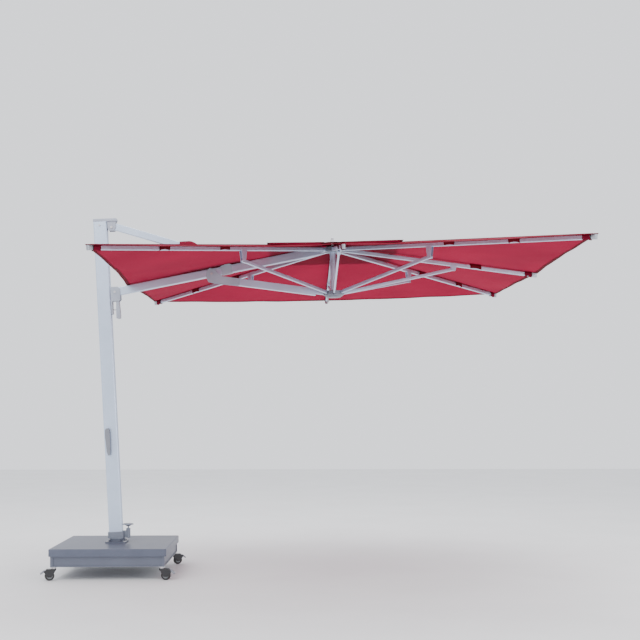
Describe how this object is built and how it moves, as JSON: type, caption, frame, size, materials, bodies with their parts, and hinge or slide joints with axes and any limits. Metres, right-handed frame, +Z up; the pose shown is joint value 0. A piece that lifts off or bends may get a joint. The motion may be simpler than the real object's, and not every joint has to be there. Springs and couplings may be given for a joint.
{
  "type": "cantilever parasol",
  "caption": "Cantilever parasol: wheeled ballast base, leaning swivel mast, folding boom linkage and square ribbed fabric canopy.",
  "frame": {"origin": "on the floor under the mast's vertical swivel axis, at the centre of the square base", "axes": "+Z up; +X from the base towards the canopy, in the plane of mast and boom; +Y to the left of that, so that the part is near symmetric about y = 0"},
  "size_m": [3.5437, 3.0092, 2.5728],
  "materials": {
    "tray_paint": "satin",
    "lid_paint": "gloss",
    "dark_paint": "satin",
    "ballast_iron": "matte",
    "steel": "satin",
    "silver_aluminium": "satin",
    "grey_casting": "satin",
    "slate_plastic": "matte",
    "caster_black": "satin",
    "caster_rubber": "matte",
    "canopy_cloth": "matte"
  },
  "bodies": {
    "base": {"base_tray": "tray_paint", "base_lid": "lid_paint", "ballast_plates": "ballast_iron", "foot_flange": "dark_paint", "foot_bolts": "steel", "caster_stems": "steel"},
    "mast": {"mast_socket": "dark_paint", "mast_tube": "silver_aluminium", "mast_cap": "grey_casting", "cap_pin": "steel", "mast_handle": "slate_plastic", "pedal_housing": "grey_casting", "pedal_spring": "steel"},
    "pedal": {"foot_pedal": "slate_plastic"},
    "strut": {"upper_strut": "silver_aluminium"},
    "boom": {"boom_tube": "silver_aluminium", "boom_sleeve": "grey_casting", "boom_pins": "steel", "strut_boot": "canopy_cloth"},
    "carriage": {"carriage_block": "grey_casting", "carriage_shoe": "slate_plastic"},
    "lever": {"carriage_lever": "slate_plastic"},
    "lock": {"lock_pin": "steel"},
    "beam": {"lower_beam": "silver_aluminium", "lower_beam_clevis": "silver_aluminium"},
    "crown": {"crown_hub": "grey_casting", "crown_pins": "steel", "centre_post": "silver_aluminium", "finial": "slate_plastic", "canopy": "canopy_cloth", "vent_cap": "canopy_cloth"},
    "hub": {"lower_hub": "grey_casting", "lower_hub_pins": "steel"},
    "pull": {"pull_pin": "steel"},
    "caster_1": {"caster_fork_1": "caster_black"},
    "wheel_1": {"caster_wheel_1": "caster_rubber"},
    "brake_1": {"brake_pedal_1": "slate_plastic"},
    "caster_2": {"caster_fork_2": "caster_black"},
    "wheel_2": {"caster_wheel_2": "caster_rubber"},
    "brake_2": {"brake_pedal_2": "slate_plastic"},
    "caster_3": {"caster_fork_3": "caster_black"},
    "wheel_3": {"caster_wheel_3": "caster_rubber"},
    "brake_3": {"brake_pedal_3": "slate_plastic"},
    "caster_4": {"caster_fork_4": "caster_black"},
    "wheel_4": {"caster_wheel_4": "caster_rubber"},
    "brake_4": {"brake_pedal_4": "slate_plastic"},
    "rib_front": {"rib_front": "silver_aluminium"},
    "strut_front": {"strut_front": "silver_aluminium"},
    "rib_front_left": {"rib_front_left": "silver_aluminium"},
    "strut_front_left": {"strut_front_left": "silver_aluminium"},
    "rib_left": {"rib_left": "silver_aluminium"},
    "strut_left": {"strut_left": "silver_aluminium"},
    "rib_back_left": {"rib_back_left": "silver_aluminium"},
    "strut_back_left": {"strut_back_left": "silver_aluminium"},
    "rib_back_right": {"rib_back_right": "silver_aluminium"},
    "strut_back_right": {"strut_back_right": "silver_aluminium"},
    "rib_right": {"rib_right": "silver_aluminium"},
    "strut_right": {"strut_right": "silver_aluminium"},
    "rib_front_right": {"rib_front_right": "silver_aluminium"},
    "strut_front_right": {"strut_front_right": "silver_aluminium"}
  },
  "joints": [
    {"name": "mast_swivel", "type": "hinge", "parent": "base", "child": "mast", "pos_m": [0, 0, 0.246], "axis": [0, 0, 1], "continuous": true},
    {"name": "caster_1_swivel", "type": "hinge", "parent": "base", "child": "caster_1", "pos_m": [-0.373, -0.373, 0.09], "axis": [0, 0, 1], "continuous": true},
    {"name": "wheel_1_spin", "type": "hinge", "parent": "caster_1", "child": "wheel_1", "pos_m": [-0.39931, -0.38258, 0.033], "axis": [0.342, -0.9397, 0], "continuous": true},
    {"name": "brake_1_release", "type": "hinge", "parent": "caster_1", "child": "brake_1", "pos_m": [-0.42844, -0.39318, 0.065], "axis": [-0.342, 0.9397, 0], "range_deg": [0, 18]},
    {"name": "caster_2_swivel", "type": "hinge", "parent": "base", "child": "caster_2", "pos_m": [0.373, -0.373, 0.09], "axis": [0, 0, 1], "continuous": true},
    {"name": "wheel_2_spin", "type": "hinge", "parent": "caster_2", "child": "wheel_2", "pos_m": [0.40073, -0.3769, 0.033], "axis": [0.1392, 0.9903, 0], "continuous": true},
    {"name": "brake_2_release", "type": "hinge", "parent": "caster_2", "child": "brake_2", "pos_m": [0.43143, -0.38121, 0.065], "axis": [-0.1392, -0.9903, 0], "range_deg": [0, 18]},
    {"name": "caster_3_swivel", "type": "hinge", "parent": "base", "child": "caster_3", "pos_m": [-0.373, 0.373, 0.09], "axis": [0, 0, 1], "continuous": true},
    {"name": "wheel_3_spin", "type": "hinge", "parent": "caster_3", "child": "wheel_3", "pos_m": [-0.39772, 0.38615, 0.033], "axis": [-0.4695, -0.8829, 0], "continuous": true},
    {"name": "brake_3_release", "type": "hinge", "parent": "caster_3", "child": "brake_3", "pos_m": [-0.42509, 0.4007, 0.065], "axis": [0.4695, 0.8829, 0], "range_deg": [0, 18]},
    {"name": "caster_4_swivel", "type": "hinge", "parent": "base", "child": "caster_4", "pos_m": [0.373, 0.373, 0.09], "axis": [0, 0, 1], "continuous": true},
    {"name": "wheel_4_spin", "type": "hinge", "parent": "caster_4", "child": "wheel_4", "pos_m": [0.39772, 0.38615, 0.033], "axis": [-0.4695, 0.8829, 0], "continuous": true},
    {"name": "brake_4_release", "type": "hinge", "parent": "caster_4", "child": "brake_4", "pos_m": [0.42509, 0.4007, 0.065], "axis": [0.4695, -0.8829, 0], "range_deg": [0, 18]},
    {"name": "pedal_press", "type": "slide", "parent": "mast", "child": "pedal", "axis": [0, 0, -1], "range_m": [0, 0.012], "stiffness_N_per_m": 1500, "springref_m": -0.012, "deforming": ["pedal_spring"]},
    {"name": "canopy_fold", "type": "hinge", "parent": "mast", "child": "strut", "pos_m": [-0.03631, 0, 2.50773], "axis": [0, 1, 0], "range_deg": [0, 70], "deforming": ["canopy", "vent_cap", "strut_boot"]},
    {"name": "boom_pivot", "type": "hinge", "parent": "strut", "child": "boom", "pos_m": [0.77674, 0, 2.31317], "axis": [0, -1, 0], "range_deg": [0, 140]},
    {"name": "carriage_pivot", "type": "hinge", "parent": "boom", "child": "carriage", "pos_m": [-0.01248, 0, 2.03743], "axis": [0, 1, 0], "range_deg": [0, 70]},
    {"name": "crown_pivot", "type": "hinge", "parent": "boom", "child": "crown", "pos_m": [1.51138, 0, 2.34955], "axis": [0, 1, 0], "range_deg": [0, 70]},
    {"name": "beam_pivot", "type": "hinge", "parent": "boom", "child": "beam", "pos_m": [0.6888, 0, 2.17015], "axis": [0, 1, 0], "range_deg": [0, 140]},
    {"name": "hub_pivot", "type": "hinge", "parent": "beam", "child": "hub", "pos_m": [1.51964, 0, 2.03405], "axis": [0, -1, 0], "range_deg": [0, 70]},
    {"name": "rib_front_fold", "type": "hinge", "parent": "crown", "child": "rib_front", "pos_m": [1.63134, 0, 2.35269], "axis": [0, 1, 0], "range_deg": [0, 70]},
    {"name": "strut_front_fold", "type": "hinge", "parent": "hub", "child": "strut_front", "pos_m": [1.6396, 0, 2.0372], "axis": [0, -1, 0], "range_deg": [0, 70]},
    {"name": "rib_front_left_fold", "type": "hinge", "parent": "crown", "child": "rib_front_left", "pos_m": [1.61377, 0.04243, 2.35223], "axis": [-0.7069, 0.7071, -0.0185], "range_deg": [0, 70]},
    {"name": "strut_front_left_fold", "type": "hinge", "parent": "hub", "child": "strut_front_left", "pos_m": [1.62203, 0.04243, 2.03674], "axis": [0.7069, -0.7071, 0.0185], "range_deg": [0, 70]},
    {"name": "rib_left_fold", "type": "hinge", "parent": "crown", "child": "rib_left", "pos_m": [1.57136, 0.06, 2.35112], "axis": [-0.9997, 0, -0.0262], "range_deg": [0, 70]},
    {"name": "strut_left_fold", "type": "hinge", "parent": "hub", "child": "strut_left", "pos_m": [1.57962, 0.06, 2.03563], "axis": [0.9997, 0, 0.0262], "range_deg": [0, 70]},
    {"name": "rib_back_left_fold", "type": "hinge", "parent": "crown", "child": "rib_back_left", "pos_m": [1.52895, 0.04243, 2.35001], "axis": [-0.7069, -0.7071, -0.0185], "range_deg": [0, 70]},
    {"name": "strut_back_left_fold", "type": "hinge", "parent": "hub", "child": "strut_back_left", "pos_m": [1.53721, 0.04243, 2.03451], "axis": [0.7069, 0.7071, 0.0185], "range_deg": [0, 70]},
    {"name": "rib_back_right_fold", "type": "hinge", "parent": "crown", "child": "rib_back_right", "pos_m": [1.52895, -0.04243, 2.35001], "axis": [0.7069, -0.7071, 0.0185], "range_deg": [0, 70]},
    {"name": "strut_back_right_fold", "type": "hinge", "parent": "hub", "child": "strut_back_right", "pos_m": [1.53721, -0.04243, 2.03451], "axis": [-0.7069, 0.7071, -0.0185], "range_deg": [0, 70]},
    {"name": "rib_right_fold", "type": "hinge", "parent": "crown", "child": "rib_right", "pos_m": [1.57136, -0.06, 2.35112], "axis": [0.9997, 0, 0.0262], "range_deg": [0, 70]},
    {"name": "strut_right_fold", "type": "hinge", "parent": "hub", "child": "strut_right", "pos_m": [1.57962, -0.06, 2.03563], "axis": [-0.9997, 0, -0.0262], "range_deg": [0, 70]},
    {"name": "rib_front_right_fold", "type": "hinge", "parent": "crown", "child": "rib_front_right", "pos_m": [1.61377, -0.04243, 2.35223], "axis": [0.7069, 0.7071, 0.0185], "range_deg": [0, 70]},
    {"name": "strut_front_right_fold", "type": "hinge", "parent": "hub", "child": "strut_front_right", "pos_m": [1.62203, -0.04243, 2.03674], "axis": [-0.7069, -0.7071, -0.0185], "range_deg": [0, 70]},
    {"name": "lever_pull", "type": "hinge", "parent": "carriage", "child": "lever", "pos_m": [0.00633, 0, 1.98232], "axis": [0, -1, 0], "range_deg": [0, 12], "stiffness_Nm_per_rad": 1.5, "springref_deg": -14.32},
    {"name": "lock_pin_slide", "type": "slide", "parent": "carriage", "child": "lock", "axis": [0.9987, 0, 0.0506], "range_m": [0, 0.01558]},
    {"name": "hub_pin_pull", "type": "slide", "parent": "hub", "child": "pull", "axis": [0.0262, 0, -0.9997], "range_m": [0, 0.012], "stiffness_N_per_m": 600, "springref_m": -0.012}
  ],
  "couplings": [
    {"joint": "boom_pivot", "follows": "canopy_fold", "ratio": 2},
    {"joint": "carriage_pivot", "follows": "canopy_fold", "ratio": 1},
    {"joint": "crown_pivot", "follows": "canopy_fold", "ratio": 1},
    {"joint": "beam_pivot", "follows": "canopy_fold", "ratio": 2},
    {"joint": "hub_pivot", "follows": "canopy_fold", "ratio": 1},
    {"joint": "rib_front_fold", "follows": "canopy_fold", "ratio": 1},
    {"joint": "strut_front_fold", "follows": "canopy_fold", "ratio": 1},
    {"joint": "rib_front_left_fold", "follows": "canopy_fold", "ratio": 1},
    {"joint": "strut_front_left_fold", "follows": "canopy_fold", "ratio": 1},
    {"joint": "rib_left_fold", "follows": "canopy_fold", "ratio": 1},
    {"joint": "strut_left_fold", "follows": "canopy_fold", "ratio": 1},
    {"joint": "rib_back_left_fold", "follows": "canopy_fold", "ratio": 1},
    {"joint": "strut_back_left_fold", "follows": "canopy_fold", "ratio": 1},
    {"joint": "rib_back_right_fold", "follows": "canopy_fold", "ratio": 1},
    {"joint": "strut_back_right_fold", "follows": "canopy_fold", "ratio": 1},
    {"joint": "rib_right_fold", "follows": "canopy_fold", "ratio": 1},
    {"joint": "strut_right_fold", "follows": "canopy_fold", "ratio": 1},
    {"joint": "rib_front_right_fold", "follows": "canopy_fold", "ratio": 1},
    {"joint": "strut_front_right_fold", "follows": "canopy_fold", "ratio": 1},
    {"joint": "lock_pin_slide", "follows": "lever_pull", "m_per_rad": 0.072}
  ]
}
